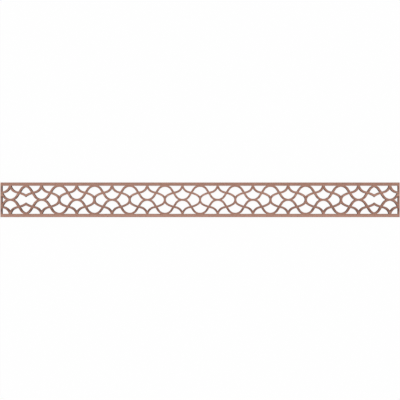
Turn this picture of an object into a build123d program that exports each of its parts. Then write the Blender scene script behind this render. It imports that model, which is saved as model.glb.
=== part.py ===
"""Fretwork moulding: a flat strip of solid wood with an interlaced fret cut right through it.

X runs along the strip, Y across it and Z through its thickness. The origin is at the middle
of the flat back, and the show face is at the top. All sizes are in millimetres.
"""
import math
import os

from build123d import *

# Stock
length = 1187.45            # 46 3/4 in
width = 103.0
thickness = 6.35            # 1/4 in

# Border left round the fret
rail_width = 9.6            # along both long edges
stile_width = 4.2           # across both ends

# Fret: every strand has one width, and its path is given along its middle
strand_width = 6.0
half_period = 52.5          # from a link on the mid-line to the next saddle
links_each_side = 4         # whole links to the left and right of the middle one
seam_trim = 6.0             # cut off each end of the regular run before it is mirrored

# Waves, from a crest at a rail to a saddle on the mid-line
wave_rise = 41.7
wave_radius = 23.5          # of the crests and the saddles

# Ogees, from a link on the mid-line to a cusp at a rail
link_radius = 15.3
link_turn = 59              # degrees
flank_radius = 67.0
flank_turn = 17.5           # degrees
cusp_radius = 24.2

# Inner outline of the border, and the line beyond which the pattern is mirrored
rail_edge = width / 2 - rail_width
stile_edge = length / 2 - stile_width
period = 2 * half_period
seam = (links_each_side + 1) * period - seam_trim


def wave_path():
    """Half a wave: an arc at the crest, a straight tangent to both arcs, an arc at the saddle."""
    crest_centre = Vector(0, wave_rise - wave_radius)
    reach = Vector(half_period / 2, wave_rise / 2) - crest_centre
    turn = math.degrees(math.atan2(reach.X, reach.Y) - math.acos(wave_radius / reach.length))
    crest = JernArc((0, wave_rise), (1, 0), wave_radius, -turn)
    saddle = JernArc((half_period, 0), (-1, 0), wave_radius, -turn)
    return Curve() + [crest, Line(crest @ 1, saddle @ 1), saddle]


def ogee_path():
    """Half an ogee: a tight arc at the link, a slack one beyond it, a straight, and the cusp's arc.

    The cusp's arc ends upright on the line where two ogees meet, inside the rail.
    """
    link = JernArc((0, 0), (0, 1), link_radius, -link_turn)
    flank = JernArc(link @ 1, link % 1, flank_radius, -flank_turn)
    slope = 90 - link_turn - flank_turn
    cusp_run = cusp_radius * (1 - math.sin(math.radians(slope)))
    straight_run = half_period - cusp_run - (flank @ 1).X
    straight_length = straight_run / math.cos(math.radians(slope))
    straight = Line(flank @ 1, flank @ 1 + (flank % 1) * straight_length)
    cusp = JernArc(straight @ 1, straight % 1, cusp_radius, 90 - slope)
    return Curve() + [link, flank, straight, cusp]


def one_period():
    """The strands from one saddle to the next, with a link in the middle."""
    quarter = trace(wave_path(), strand_width) + trace(ogee_path(), strand_width)
    upper = quarter + mirror(quarter, Plane.YZ)
    return upper + mirror(upper, Plane.XZ)


def fret():
    """The regular run, cut off beside its last links, with its own ends mirrored beyond the cuts."""
    pattern = one_period()
    last = links_each_side + 1
    run = Sketch() + [Pos(period * k, 0) * pattern for k in range(-last, last + 1)]
    middle = run & Rectangle(2 * seam, width)
    last_period = middle & Pos(seam - half_period, 0) * Rectangle(period, width)
    right_end = mirror(last_period, Plane.YZ.offset(seam))
    left_end = mirror(right_end, Plane.YZ)
    return middle + right_end + left_end


def fretwork_strip():
    """One solid: the stock, less every opening that the strands leave inside the border."""
    outline = Rectangle(length, width).face()
    openings = (Rectangle(2 * stile_edge, 2 * rail_edge) - fret()).faces()
    pierced = Face(outline.outer_wire(), [opening.outer_wire() for opening in openings])
    return extrude(pierced, thickness)


os.makedirs("parts", exist_ok=True)
export_step(fretwork_strip(), "parts/fretwork_strip.step")
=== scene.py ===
"""Fretwork moulding: the wood, the floor, the light and the camera round the strip.

The strip's openings are worked out again with fine curves and eased edges, so that it holds up close by.
All sizes are in metres. X runs along the strip, Y across it and Z through its thickness. The origin is
at the middle of the flat back, and the show face is at the top.
"""
import math

import bmesh
import bpy
import numpy as np
from bpy.props import FloatProperty, FloatVectorProperty, IntProperty, PointerProperty
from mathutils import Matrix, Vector
from mathutils.geometry import delaunay_2d_cdt


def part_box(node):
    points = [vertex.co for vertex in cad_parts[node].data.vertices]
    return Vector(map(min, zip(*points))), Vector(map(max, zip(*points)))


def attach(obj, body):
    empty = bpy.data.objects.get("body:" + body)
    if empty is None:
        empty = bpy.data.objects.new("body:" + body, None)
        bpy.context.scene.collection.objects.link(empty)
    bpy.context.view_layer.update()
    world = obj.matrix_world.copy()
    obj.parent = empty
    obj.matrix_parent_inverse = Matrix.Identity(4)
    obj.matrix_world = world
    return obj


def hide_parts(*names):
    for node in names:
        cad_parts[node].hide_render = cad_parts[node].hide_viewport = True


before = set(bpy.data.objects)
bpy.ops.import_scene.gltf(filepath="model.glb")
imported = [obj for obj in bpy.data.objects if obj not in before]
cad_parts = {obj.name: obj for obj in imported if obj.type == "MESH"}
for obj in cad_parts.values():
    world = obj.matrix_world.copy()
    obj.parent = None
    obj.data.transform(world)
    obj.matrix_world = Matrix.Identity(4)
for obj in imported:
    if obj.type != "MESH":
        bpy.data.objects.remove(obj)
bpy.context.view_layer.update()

bl_info = {
    "name": "Fretwork moulding",
    "version": (1, 0, 0),
    "blender": (4, 5, 0),
    "location": "3D View > Sidebar > Fretwork",
    "description": "Builds a pierced wooden strip with an interlaced fret, and a plain studio round it",
    "category": "Object",
}

NODE = "fretwork_strip"
LOW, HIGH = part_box(NODE)
LENGTH, WIDTH, THICKNESS = HIGH - LOW

MERGE = 1e-7        # points of two cells nearer than this are one
STRAIGHT = 1e-4     # a point of the rim where it turns less than this, in radians, is left out

# Places of the strip's two materials in its list
SANDED = 0
CUT = 1

# Broad streaks along the strip: their middle across the strip, half their width, and how much paler they
# are
STREAKS = {
    "pale streak above the middle": (0.0140, 0.0050, 0.26),
    "dark streak below the middle": (-0.0305, 0.0080, -0.36),
    "duller wood round the dark streak": (-0.0210, 0.0190, -0.16),
    # the lower rail, made paler along its whole length
    "pale lower edge": (-0.0470, 0.0055, 0.22),
    "pale line along the upper rail": (0.0415, 0.0030, 0.12),
    "dark line under the upper rail": (0.0365, 0.0028, -0.18),
    "dark line in the upper fret": (0.0275, 0.0030, -0.14),
    "pale line in the upper fret": (0.0215, 0.0025, 0.08),
    "dark line over the middle": (0.0085, 0.0036, -0.24),
}

# Grain: the length, width and depth of its patches, then the detail and the roughness of the noise
GRAIN = {
    "drift": (0.1700, 0.0600, 0.0600, 1.0, 0.50),
    "growth lines": (0.2200, 0.0017, 0.0040, 4.0, 0.62),
    "figure": (0.0220, 0.0011, 0.0020, 3.0, 0.60),
    "fibres": (0.0090, 0.00028, 0.0004, 2.0, 0.50),
    "flecks": (0.0042, 0.0014, 0.0030, 1.0, 0.50),
    "hues": (0.0110, 0.0015, 0.0030, 2.0, 0.50),
    "pores": (0.0045, 0.00022, 0.00022, 1.0, 0.50),
    "cut marks": (0.0007, 0.0007, 0.0400, 2.0, 0.60),
    "wall layers": (0.1500, 0.0022, 0.0009, 2.0, 0.50),
}

# How far some of the grain swings: the drift in metres across the strip, the others in tone
SWINGS = {"drift": 0.004, "growth lines": 0.80, "figure": 1.00, "fibres": 0.45, "flecks": 0.95}

# Tints that the wood's colour is multiplied by, and the noise at which each is reached
REDDER = (1.070, 0.968, 0.980)
REDDER_BELOW = 0.35
YELLOWER = (0.950, 1.022, 0.970)
YELLOWER_ABOVE = 0.65

PORE_EDGE = 0.60            # the noise where a pore starts
PORE_FLOOR = 0.70           # the noise where it is at its deepest
PORE_DEPTH = 0.00006
PORE_DARKNESS = 0.35        # share of the dark wood's colour in a pore
MARK_DEPTH = 0.00008        # of the cut marks on the walls
MARK_SHADE = 0.5            # how far the cut marks shade the walls
LEAST_SHADE = 0.25          # what the walls' colour is multiplied by at the least
RELIEF_STRENGTH = 0.6
SHEEN = 0.12                # how much smoother the palest wood is than the darkest
SANDED_GLOSS = 0.30
CUT_GLOSS = 0.25
CUT_ROUGHNESS = 0.80

FLOOR_GAP = 0.0001          # from the strip's back down to the floor, so that the two don't coincide
FLOOR_COLOUR = (0.95, 0.95, 0.95, 1)
WHITE = (1, 1, 1, 1)
LAMP_SPREAD = math.radians(30)
LAMP_TURN = (math.radians(-22), math.radians(-14), 0)


class FretShape(bpy.types.PropertyGroup):
    """Sizes of the border and of the fret inside it."""

    rail_width: FloatProperty(
        name="Rail width", description="Plain border along each long edge",
        default=0.0096, unit="LENGTH")
    stile_width: FloatProperty(
        name="Stile width", description="Plain border across each end",
        default=0.0042, unit="LENGTH")
    strand_width: FloatProperty(
        name="Strand width", description="Width of every strand of the fret",
        default=0.0060, unit="LENGTH")
    half_period: FloatProperty(
        name="Half period", description="From a link on the mid-line to the next saddle",
        default=0.0525, unit="LENGTH")
    links_each_side: IntProperty(
        name="Links each side", description="Whole links to the left and right of the middle one",
        default=4)
    seam_trim: FloatProperty(
        name="Seam trim", description="Cut off each end of the regular run before it is mirrored",
        default=0.0060, unit="LENGTH")
    wave_rise: FloatProperty(
        name="Wave rise", description="From a saddle on the mid-line up to a crest",
        default=0.0417, unit="LENGTH")
    wave_radius: FloatProperty(
        name="Wave radius", description="Radius of the crests and saddles",
        default=0.0235, unit="LENGTH")
    link_radius: FloatProperty(
        name="Link radius", description="Radius of an ogee beside a link",
        default=0.0153, unit="LENGTH")
    link_turn: FloatProperty(
        name="Link turn", description="How far an ogee turns beside a link",
        default=math.radians(59), subtype="ANGLE")
    flank_radius: FloatProperty(
        name="Flank radius", description="Radius of an ogee beyond its link's arc",
        default=0.0670, unit="LENGTH")
    flank_turn: FloatProperty(
        name="Flank turn", description="How far an ogee turns beyond its link's arc",
        default=math.radians(17.5), subtype="ANGLE")
    cusp_radius: FloatProperty(
        name="Cusp radius", description="Radius of an ogee where it runs up into the rail",
        default=0.0242, unit="LENGTH")
    edge_ease: FloatProperty(
        name="Edge ease", description="Radius that every arris is sanded to",
        default=0.0003, unit="LENGTH")
    ease_steps: IntProperty(
        name="Ease steps", description="Facets across each eased arris", default=2)
    chord: FloatProperty(
        name="Chord", description="Longest straight run along a curve",
        default=0.0015, unit="LENGTH")


class WoodFinish(bpy.types.PropertyGroup):
    """Colours and roughness of the bare wood."""

    pale: FloatVectorProperty(
        name="Pale wood", description="Colour of the palest streaks", size=3,
        default=(0.505, 0.290, 0.220), subtype="COLOR", min=0, max=1)
    middle: FloatVectorProperty(
        name="Wood", description="Colour of most of the wood", size=3,
        default=(0.368, 0.194, 0.146), subtype="COLOR", min=0, max=1)
    dark: FloatVectorProperty(
        name="Dark wood", description="Colour of the darkest streaks and the pores", size=3,
        default=(0.200, 0.094, 0.068), subtype="COLOR", min=0, max=1)
    cut: FloatVectorProperty(
        name="Cut wood", description="Colour of the cut walls along the grain", size=3,
        default=(0.215, 0.115, 0.082), subtype="COLOR", min=0, max=1)
    end_grain: FloatVectorProperty(
        name="End grain", description="Colour of the cut walls across the grain", size=3,
        default=(0.135, 0.068, 0.048), subtype="COLOR", min=0, max=1)
    roughness: FloatProperty(
        name="Roughness", description="Roughness of the sanded face", default=0.62, min=0, max=1)


class StudioSet(bpy.types.PropertyGroup):
    """Floor, light and camera."""

    floor_size: FloatProperty(
        name="Floor size", description="Side of the square floor", default=12.0, unit="LENGTH")
    floor_white: FloatProperty(
        name="Floor white", description="Share of the floor that shows plain white, and no shadow",
        default=0.92, min=0, max=1)
    sky: FloatProperty(
        name="Sky", description="Strength of the even light from all round", default=0.62, min=0)
    lamp: FloatProperty(
        name="Lamp", description="Strength of the wide lamp overhead", default=1.2, min=0)
    view_height: FloatProperty(
        name="View height", description="From the show face up to the camera",
        default=1.100, unit="LENGTH")
    view_width: FloatProperty(
        name="View width", description="Width of the picture at the show face",
        default=1.1890, unit="LENGTH")
    view_right: FloatProperty(
        name="View right", description="How far the camera stands right of the strip's middle",
        default=-0.0002, unit="LENGTH")
    view_up: FloatProperty(
        name="View up", description="How far the camera stands above the strip's middle",
        default=-0.0006, unit="LENGTH")


def path(start, heading, stretches, chord):
    """Points and headings along a plane path of arcs and straights.

    Each stretch is a run and a bend, the turn per metre. After a run s the heading has turned by bend
    times s. The point has moved by s times sin(half turn) / (half turn), along the middle heading.
    """
    points = [np.array([start])]
    headings = [np.array([heading])]
    for run, bend in stretches:
        steps = math.ceil(run / chord) if bend else 1
        s = np.linspace(0, run, steps + 1)[1:]
        middle = heading + bend * s / 2
        moved = s * np.sinc(bend * s / math.tau)
        points.append(points[-1][-1] + moved[:, None] * np.column_stack((np.cos(middle), np.sin(middle))))
        headings.append(heading + bend * s)
        heading += bend * run
    return np.vstack(points), np.concatenate(headings)


def wave(shape):
    """Half a wave: an arc at the crest, a straight tangent to both arcs, an arc at the saddle.

    The straight's middle lies halfway along the half wave and halfway up. Each arc turns by the angle
    between upright and the way from the crest's centre to that middle, less the arc cosine of the
    radius over its distance.
    """
    radius = shape.wave_radius
    reach = np.array([shape.half_period, shape.wave_rise]) / 2 - (0, shape.wave_rise - radius)
    distance = np.hypot(*reach)
    turn = math.atan2(*reach) - math.acos(radius / distance)
    straight = 2 * math.sqrt(distance**2 - radius**2)
    arc = radius * turn
    stretches = ((arc, -1 / radius), (straight, 0), (arc, 1 / radius))
    return path((0, shape.wave_rise), 0, stretches, shape.chord)


def ogee(shape):
    """Half an ogee: a tight arc at the link, a slack one beyond it, a straight, and the cusp's arc.

    The straight is as long as what the arcs leave of the half period, over the cosine of its slope. The
    cusp's arc ends upright on the line where two ogees meet, inside the rail.
    """
    slope = math.pi / 2 - shape.link_turn - shape.flank_turn
    link = (shape.link_radius * shape.link_turn, -1 / shape.link_radius)
    flank = (shape.flank_radius * shape.flank_turn, -1 / shape.flank_radius)
    flank_end = path((0, 0), math.pi / 2, (link, flank), shape.chord)[0][-1][0]
    cusp_run = shape.cusp_radius * (1 - math.sin(slope))
    straight = (shape.half_period - cusp_run - flank_end) / math.cos(slope)
    cusp = (shape.cusp_radius * (math.pi / 2 - slope), 1 / shape.cusp_radius)
    return path((0, 0), math.pi / 2, (link, flank, (straight, 0), cusp), shape.chord)


def band(line, width):
    """Outline of a strand: its line moved half the width to the right, then back along the left."""
    points, headings = line
    side = np.column_stack((-np.sin(headings), np.cos(headings))) * width / 2
    return np.vstack((points - side, (points + side)[::-1]))


def rectangle(x0, x1, y0, y1):
    """Corners of an upright rectangle, anticlockwise."""
    return np.array([(x0, y0), (x1, y0), (x1, y1), (x0, y1)])


def cells(shape):
    """Points and triangles of the cell from a link to the next saddle, above the mid-line, and its uses.

    The strands, the rail and the stile are laid over each other and cut into triangles along all their
    edges. A triangle is kept where at least one of them covers it. Each use of the cell is where its
    link stands, which way it runs from there, and which of the triangles it has.
    """
    top = WIDTH / 2
    period = 2 * shape.half_period
    next_link = (shape.links_each_side + 1) * period
    seam = next_link - shape.seam_trim
    last_link = 2 * seam - shape.links_each_side * period
    end = last_link - LENGTH / 2
    outlines = {
        "wave": band(wave(shape), shape.strand_width),
        "ogee": band(ogee(shape), shape.strand_width),
        "rail": rectangle(0, shape.half_period, top - shape.rail_width, top),
        "stile": rectangle(end, end + shape.stile_width, 0, top),
        "cell": rectangle(0, shape.half_period, 0, top),
        "trimmed cell": rectangle(shape.seam_trim, shape.half_period, 0, top),
    }
    stops = np.cumsum([0] + [len(outline) for outline in outlines.values()])
    faces = [list(range(*stops[k : k + 2])) for k in range(len(outlines))]
    corners = [Vector(point) for point in np.vstack(list(outlines.values()))]
    points, _, triangles, _, _, owners = delaunay_2d_cdt(corners, [], faces, 0, MERGE, True)
    points, triangles = np.array(points, float), np.array(triangles)
    covers = {name: np.array([k in owner for owner in owners]) for k, name in enumerate(outlines)}
    wood = covers["wave"] | covers["ogee"] | covers["rail"]
    inside_end = points[triangles][:, :, 0].mean(1) > end
    whole = triangles[wood & covers["cell"]]
    seamed = triangles[wood & covers["trimmed cell"]]
    ended = triangles[(wood & covers["cell"] & inside_end) | covers["stile"]]
    links = period * np.arange(-shape.links_each_side, shape.links_each_side + 1)
    uses = [(link, side, whole) for link in links for side in (-1, 1)]
    for side in (-1, 1):
        uses.append((side * next_link, -side, seamed))
        uses.append((side * (2 * seam - next_link), side, seamed))
        uses.append((side * last_link, -side, ended))
    return points, uses


def flat_pattern(shape):
    """Points and anticlockwise triangles of the whole strip, seen from above.

    For each use, the cell's points are multiplied by the way that the use runs, and moved to its link.
    They come once above the mid-line and once mirrored below it. The triangles of a copy that is turned
    over are read backwards, so that they stay anticlockwise. Points that coincide become one.
    """
    cell, uses = cells(shape)
    points, triangles = [], []
    for link, side, kept in uses:
        for rise in (-1, 1):
            triangles.append(kept[:, :: side * rise] + len(cell) * len(points))
            points.append(cell * (side, rise) + (link, 0))
    points, triangles = np.vstack(points), np.vstack(triangles)
    steps = np.round(points / MERGE).astype(int)
    _, first, merged = np.unique(steps, axis=0, return_index=True, return_inverse=True)
    return points[first], merged.ravel()[triangles]


def left_normals(points, after):
    """Unit normals to the left of the run from each point to the one after it."""
    run = points[after] - points
    length = np.hypot(*run.T)
    length[length == 0] = 1
    return np.column_stack((-run[:, 1], run[:, 0])) / length[:, None]


def rim(shape):
    """Points round the outside and every opening, the next point after each, and the way into the wood.

    A triangle's side with no other triangle beyond it is part of the rim, with the wood on its left.
    Points where the rim runs straight on are left out. The way into the wood is the mitre: the sum of
    the normals of both sides, over one plus their dot product. A point moved by an inset times its
    mitre moves both sides in by the inset.
    """
    points, triangles = flat_pattern(shape)
    sides = np.vstack((triangles[:, [0, 1]], triangles[:, [1, 2]], triangles[:, [2, 0]]))
    forward = sides @ (len(points), 1)
    backward = sides @ (1, len(points))
    sides = sides[~np.isin(forward, backward)]
    after, before = np.arange(len(points)), np.arange(len(points))
    after[sides[:, 0]] = sides[:, 1]
    before[sides[:, 1]] = sides[:, 0]
    left = left_normals(points, after)
    turn = np.abs(left[before][:, 0] * left[:, 1] - left[before][:, 1] * left[:, 0])
    corners = np.zeros(len(points), bool)
    corners[sides[:, 0]] = turn[sides[:, 0]] > STRAIGHT
    while not corners[after[corners]].all():
        after = np.where(corners[after], after, after[after])
    index = np.cumsum(corners) - 1
    points, after = points[corners], index[after[corners]]
    before = np.argsort(after)
    left = left_normals(points, after)
    dot = (left[before] * left).sum(1)
    return points, after, (left[before] + left) / (1 + dot)[:, None]


def strip_mesh(shape):
    """The strip's surface: a profile carried round the rim, closed by the two flats.

    The profile runs up from the back: a quarter circle, the straight wall, and a quarter circle on to
    the show face. Each of its rings is the rim moved into the wood along the mitres by the profile's
    inset, at the profile's height. The attribute across_grain, which says how far a wall cuts across
    the grain, is the square of the mitre's part along X, over the square of the whole mitre.
    """
    points, after, mitres = rim(shape)
    turn = np.linspace(0, math.pi / 2, shape.ease_steps + 1)
    inset = shape.edge_ease * (1 - np.sin(turn))
    rise = shape.edge_ease * (1 - np.cos(turn))
    insets = np.concatenate((inset, inset[::-1]))
    heights = np.concatenate((rise, THICKNESS - rise[::-1]))
    count, rings = len(points), len(insets)
    around = points + insets[:, None, None] * mitres
    up = np.broadcast_to(heights[:, None, None], (rings, count, 1))
    vertices = np.concatenate((around, up), 2).reshape(-1, 3)
    start = count * np.arange(rings - 1)[:, None]
    here = np.arange(count)
    quads = np.stack((start + here, start + after, start + after + count, start + here + count), 2)
    mesh = bpy.data.meshes.new("pierced_strip")
    mesh.from_pydata(vertices, [], quads.reshape(-1, 4).tolist())
    woods = np.full((rings - 1, count), SANDED, np.int32)
    woods[shape.ease_steps] = CUT
    mesh.polygons.foreach_set("material_index", woods.ravel())
    mesh.shade_smooth()
    across = mesh.attributes.new("across_grain", "FLOAT", "POINT")
    across.data.foreach_set("value", np.tile(mitres[:, 0] ** 2 / (mitres**2).sum(1), rings))
    close_flats(mesh, count)
    return mesh


def close_flats(mesh, count):
    """Fills the mesh's first count points, which edge the back, and its last, which edge the show face."""
    edit = bmesh.new()
    edit.from_mesh(mesh)
    edit.verts.ensure_lookup_table()
    for first, normal in ((0, (0, 0, -1)), (len(edit.verts) - count, (0, 0, 1))):
        ring = set(edit.verts[first : first + count])
        edges = [edge for edge in edit.edges if edge.is_boundary and ring.issuperset(edge.verts)]
        filled = bmesh.ops.triangle_fill(edit, use_beauty=True, edges=edges, normal=normal)["geom"]
        for face in filled:
            if isinstance(face, bmesh.types.BMFace):
                face.material_index = SANDED
                face.smooth = False
    bmesh.ops.recalc_face_normals(edit, faces=edit.faces)
    edit.to_mesh(mesh)
    edit.free()


def feed(tree, socket, value):
    """Joins the value to the socket where it is a socket itself, and sets it there where it isn't."""
    if isinstance(value, bpy.types.NodeSocket):
        tree.links.new(value, socket)
    else:
        socket.default_value = value


def add_node(tree, kind, inputs=None, **settings):
    """A new node with its settings and its inputs."""
    node = tree.nodes.new("ShaderNode" + kind)
    for name, value in settings.items():
        setattr(node, name, value)
    for name, value in (inputs or {}).items():
        feed(tree, node.inputs[name], value)
    return node


def math_node(tree, operation, first, second=0.0, third=0.0):
    """Output of one sum on numbers."""
    inputs = {0: first, 1: second, 2: third}
    return add_node(tree, "Math", inputs, operation=operation).outputs[0]


def smooth_step(tree, value, low, high, at_low, at_high):
    """Output that runs smoothly from at_low to at_high as the value goes from low to high."""
    inputs = {"Value": value, "From Min": low, "From Max": high, "To Min": at_low, "To Max": at_high}
    return add_node(tree, "MapRange", inputs, interpolation_type="SMOOTHSTEP").outputs[0]


def mixed(tree, share, first, second, blend="MIX"):
    """Output of two colours mixed, through the sockets that the node enables for colours."""
    mix = add_node(tree, "Mix", data_type="RGBA", blend_type=blend)
    sockets = {socket.name: socket for socket in mix.inputs if socket.enabled}
    feed(tree, sockets["Factor"], share)
    feed(tree, sockets["A"], first)
    feed(tree, sockets["B"], second)
    return next(socket for socket in mix.outputs if socket.enabled)


def colour_ramp(tree, value, *stops):
    """Output of a ramp through the stops in order, each the value that it stands at and its colour."""
    ramp = add_node(tree, "ValToRGB", {"Fac": value})
    elements = ramp.color_ramp.elements
    elements.remove(elements[1])
    (start, start_colour), *others = stops
    elements[0].position = start
    elements[0].color = (*start_colour, 1)
    for position, colour in others:
        elements.new(position).color = (*colour, 1)
    return ramp.outputs[0]


def grain_noise(tree, place, kind):
    """Noise from 0 to 1, in patches of about the length, width and depth of that kind of grain."""
    length, width, depth, detail, roughness = GRAIN[kind]
    scale = (1 / length, 1 / width, 1 / depth)
    stretched = add_node(tree, "Mapping", {"Vector": place, "Scale": scale}).outputs[0]
    inputs = {"Vector": stretched, "Scale": 1.0, "Detail": detail, "Roughness": roughness}
    return add_node(tree, "TexNoise", inputs).outputs["Fac"]


def swing(tree, place, kind):
    """That kind of grain's noise, less a half, times how far it swings."""
    noise = grain_noise(tree, place, kind)
    return math_node(tree, "MULTIPLY", math_node(tree, "SUBTRACT", noise, 0.5), SWINGS[kind])


def wandering(tree, place):
    """The place in the board, moved a little across the grain where its lines wander."""
    offset = add_node(tree, "CombineXYZ", {"Y": swing(tree, place, "drift")}).outputs[0]
    return add_node(tree, "VectorMath", {0: place, 1: offset}, operation="ADD").outputs[0]


def streak_tone(tree, place):
    """Sum of the broad streaks, each one smooth from its middle to its sides."""
    across = add_node(tree, "SeparateXYZ", {0: place}).outputs["Y"]
    tone = 0.0
    for middle, half_width, paler in STREAKS.values():
        offset = math_node(tree, "ABSOLUTE", math_node(tree, "SUBTRACT", across, middle))
        streak = smooth_step(tree, offset, 0.0, half_width, paler, 0.0)
        tone = math_node(tree, "ADD", tone, streak)
    return tone


def wood_tone(tree, place):
    """How pale the wood is: a half, plus the streaks and the swings of the grain.

    The flecks alone don't wander with the lines of the board.
    """
    board = wandering(tree, place)
    tone = math_node(tree, "ADD", streak_tone(tree, board), 0.5)
    for kind in ("growth lines", "figure", "fibres"):
        tone = math_node(tree, "ADD", tone, swing(tree, board, kind))
    return math_node(tree, "ADD", tone, swing(tree, place, "flecks"))


def pores(tree, place):
    """Fine open pores: short dark lines along the grain, 1 in a pore and 0 between them."""
    noise = grain_noise(tree, wandering(tree, place), "pores")
    return smooth_step(tree, noise, PORE_EDGE, PORE_FLOOR, 0.0, 1.0)


def tinted(tree, place, colour):
    """The colour, a little redder in some flecks and yellower in others."""
    hue = grain_noise(tree, place, "hues")
    tint = colour_ramp(tree, hue, (REDDER_BELOW, REDDER), (YELLOWER_ABOVE, YELLOWER))
    return mixed(tree, 1.0, colour, tint, "MULTIPLY")


def new_material(name):
    """A new node material, its node tree, its shader and the object's own coordinates."""
    material = bpy.data.materials.new(name)
    material.use_nodes = True
    tree = material.node_tree
    shader = tree.nodes["Principled BSDF"]
    place = add_node(tree, "TexCoord").outputs["Object"]
    return material, tree, shader, place


def relief(tree, shader, height, depth):
    """Bump on the shader, from a height of 0 to 1 that is depth deep."""
    inputs = {"Height": height, "Strength": RELIEF_STRENGTH, "Distance": depth}
    feed(tree, shader.inputs["Normal"], add_node(tree, "Bump", inputs).outputs[0])


def sanded_wood(finish):
    """The show face, the back and the eased edges: straight-grained wood, sanded and unfinished.

    The tone picks the colour, and makes pale wood a little smoother. The pores are darker and sunk.
    """
    material, tree, shader, place = new_material("sanded_wood")
    tone = wood_tone(tree, place)
    colour = colour_ramp(tree, tone, (0.0, finish.dark), (0.5, finish.middle), (1.0, finish.pale))
    open_pores = pores(tree, place)
    colour = tinted(tree, place, colour)
    darker = math_node(tree, "MULTIPLY", open_pores, PORE_DARKNESS)
    colour = mixed(tree, darker, colour, (*finish.dark, 1))
    feed(tree, shader.inputs["Base Color"], colour)
    feed(tree, shader.inputs["Specular IOR Level"], SANDED_GLOSS)
    roughness = math_node(tree, "MULTIPLY_ADD", tone, -SHEEN, finish.roughness + SHEEN / 2)
    feed(tree, shader.inputs["Roughness"], roughness)
    relief(tree, shader, math_node(tree, "SUBTRACT", 1.0, open_pores), PORE_DEPTH)
    return material


def cut_wood(finish):
    """The walls of the openings and the outer edges: darker than the face, with fine upright marks.

    The colour goes from the cut wood's to the end grain's as the wall turns across the grain. It is
    multiplied by the marks' noise times their shade, plus the layers' noise, plus the least shade.
    """
    material, tree, shader, place = new_material("cut_wood")
    across = add_node(tree, "Attribute", attribute_name="across_grain").outputs["Fac"]
    colour = mixed(tree, across, (*finish.cut, 1), (*finish.end_grain, 1))
    marks = grain_noise(tree, place, "cut marks")
    layers = grain_noise(tree, wandering(tree, place), "wall layers")
    tone = math_node(tree, "ADD", math_node(tree, "MULTIPLY", marks, MARK_SHADE), layers)
    tone = math_node(tree, "ADD", tone, LEAST_SHADE)
    shade = add_node(tree, "CombineColor", {"Red": tone, "Green": tone, "Blue": tone}).outputs[0]
    colour = mixed(tree, 1.0, colour, shade, "MULTIPLY")
    feed(tree, shader.inputs["Base Color"], colour)
    feed(tree, shader.inputs["Specular IOR Level"], CUT_GLOSS)
    feed(tree, shader.inputs["Roughness"], CUT_ROUGHNESS)
    relief(tree, shader, marks, MARK_DEPTH)
    return material


class FRETWORK_OT_strip(bpy.types.Operator):
    """Builds the pierced strip, and puts it in the place of the plain one"""

    bl_idname = "fretwork.cut_strip"
    bl_label = "Cut the strip"

    def execute(self, context):
        mesh = strip_mesh(context.scene.fretwork_shape)
        finish = context.scene.fretwork_finish
        mesh.materials.append(sanded_wood(finish))
        mesh.materials.append(cut_wood(finish))
        strip = bpy.data.objects.new("pierced_strip", mesh)
        context.collection.objects.link(strip)
        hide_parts(NODE)
        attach(strip, "root")
        return {"FINISHED"}


def white_to_eye(tree, lit, plain, share):
    """The lit shader, mixed with plain white where the camera, a gloss or glass sees it."""
    light_path = add_node(tree, "LightPath")
    seen = light_path.outputs["Is Camera Ray"]
    for ray in ("Is Glossy Ray", "Is Transmission Ray"):
        seen = math_node(tree, "MAXIMUM", seen, light_path.outputs[ray])
    white = add_node(tree, plain, {"Color": WHITE, "Strength": 1.0})
    factor = math_node(tree, "MULTIPLY", seen, share)
    return add_node(tree, "MixShader", {0: factor, 1: lit, 2: white.outputs[0]}).outputs[0]


def make_floor(studio):
    """A plain white floor under the strip, which keeps a faint shadow."""
    reach = studio.floor_size / 2
    corners = [(x, y, -FLOOR_GAP) for x, y in rectangle(-reach, reach, -reach, reach)]
    mesh = bpy.data.meshes.new("floor")
    mesh.from_pydata(corners, [], [(0, 1, 2, 3)])
    material = bpy.data.materials.new("floor")
    material.use_nodes = True
    tree = material.node_tree
    tree.nodes.remove(tree.nodes["Principled BSDF"])
    lit = add_node(tree, "BsdfDiffuse", {"Color": FLOOR_COLOUR}).outputs[0]
    surface = tree.nodes["Material Output"].inputs["Surface"]
    feed(tree, surface, white_to_eye(tree, lit, "Emission", studio.floor_white))
    mesh.materials.append(material)
    floor = bpy.data.objects.new("floor", mesh)
    bpy.context.scene.collection.objects.link(floor)


def light_up(studio):
    """Even light from all round, white to the eye, and a wide lamp high above."""
    world = bpy.data.worlds.new("studio")
    world.use_nodes = True
    tree = world.node_tree
    sky = tree.nodes["Background"]
    feed(tree, sky.inputs["Color"], WHITE)
    feed(tree, sky.inputs["Strength"], studio.sky)
    surface = tree.nodes["World Output"].inputs["Surface"]
    feed(tree, surface, white_to_eye(tree, sky.outputs[0], "Background", 1.0))
    bpy.context.scene.world = world
    lamp = bpy.data.lights.new("lamp", "SUN")
    lamp.energy = studio.lamp
    lamp.angle = LAMP_SPREAD
    holder = bpy.data.objects.new("lamp", lamp)
    holder.rotation_euler = LAMP_TURN
    bpy.context.scene.collection.objects.link(holder)


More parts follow.
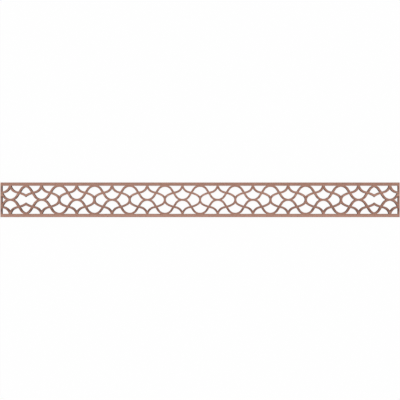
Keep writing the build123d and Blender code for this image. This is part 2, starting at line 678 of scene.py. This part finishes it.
def set_camera(studio):
    """A camera straight above the strip's middle, looking down, with the strip level in the picture.

    Its lens is as long as the sensor is wide, times the view's height over its width.
    """
    camera = bpy.data.cameras.new("camera")
    camera.lens = camera.sensor_width * studio.view_height / studio.view_width
    holder = bpy.data.objects.new("camera", camera)
    holder.location = (studio.view_right, studio.view_up, THICKNESS + studio.view_height)
    bpy.context.scene.collection.objects.link(holder)
    bpy.context.scene.camera = holder


class FRETWORK_OT_studio(bpy.types.Operator):
    """Puts the floor, the light and the camera round the strip"""

    bl_idname = "fretwork.set_studio"
    bl_label = "Set the studio"

    def execute(self, context):
        studio = context.scene.fretwork_studio
        make_floor(studio)
        light_up(studio)
        set_camera(studio)
        context.scene.view_settings.view_transform = "Standard"
        return {"FINISHED"}


class FRETWORK_PT_panel(bpy.types.Panel):
    """Lists the strip's sizes and finish, and the studio"""

    bl_idname = "FRETWORK_PT_panel"
    bl_label = "Fretwork moulding"
    bl_space_type = "VIEW_3D"
    bl_region_type = "UI"
    bl_category = "Fretwork"

    def draw(self, context):
        scene = context.scene
        for group in (scene.fretwork_shape, scene.fretwork_finish, scene.fretwork_studio):
            for name in type(group).__annotations__:
                self.layout.prop(group, name)
        self.layout.operator(FRETWORK_OT_strip.bl_idname)
        self.layout.operator(FRETWORK_OT_studio.bl_idname)


CLASSES = (FretShape, WoodFinish, StudioSet, FRETWORK_OT_strip, FRETWORK_OT_studio, FRETWORK_PT_panel)


def register():
    for cls in CLASSES:
        bpy.utils.register_class(cls)
    bpy.types.Scene.fretwork_shape = PointerProperty(type=FretShape)
    bpy.types.Scene.fretwork_finish = PointerProperty(type=WoodFinish)
    bpy.types.Scene.fretwork_studio = PointerProperty(type=StudioSet)


def unregister():
    del bpy.types.Scene.fretwork_studio
    del bpy.types.Scene.fretwork_finish
    del bpy.types.Scene.fretwork_shape
    for cls in reversed(CLASSES):
        bpy.utils.unregister_class(cls)


def main():
    register()
    bpy.ops.fretwork.cut_strip()
    bpy.ops.fretwork.set_studio()


if __name__ == "__main__":
    main()
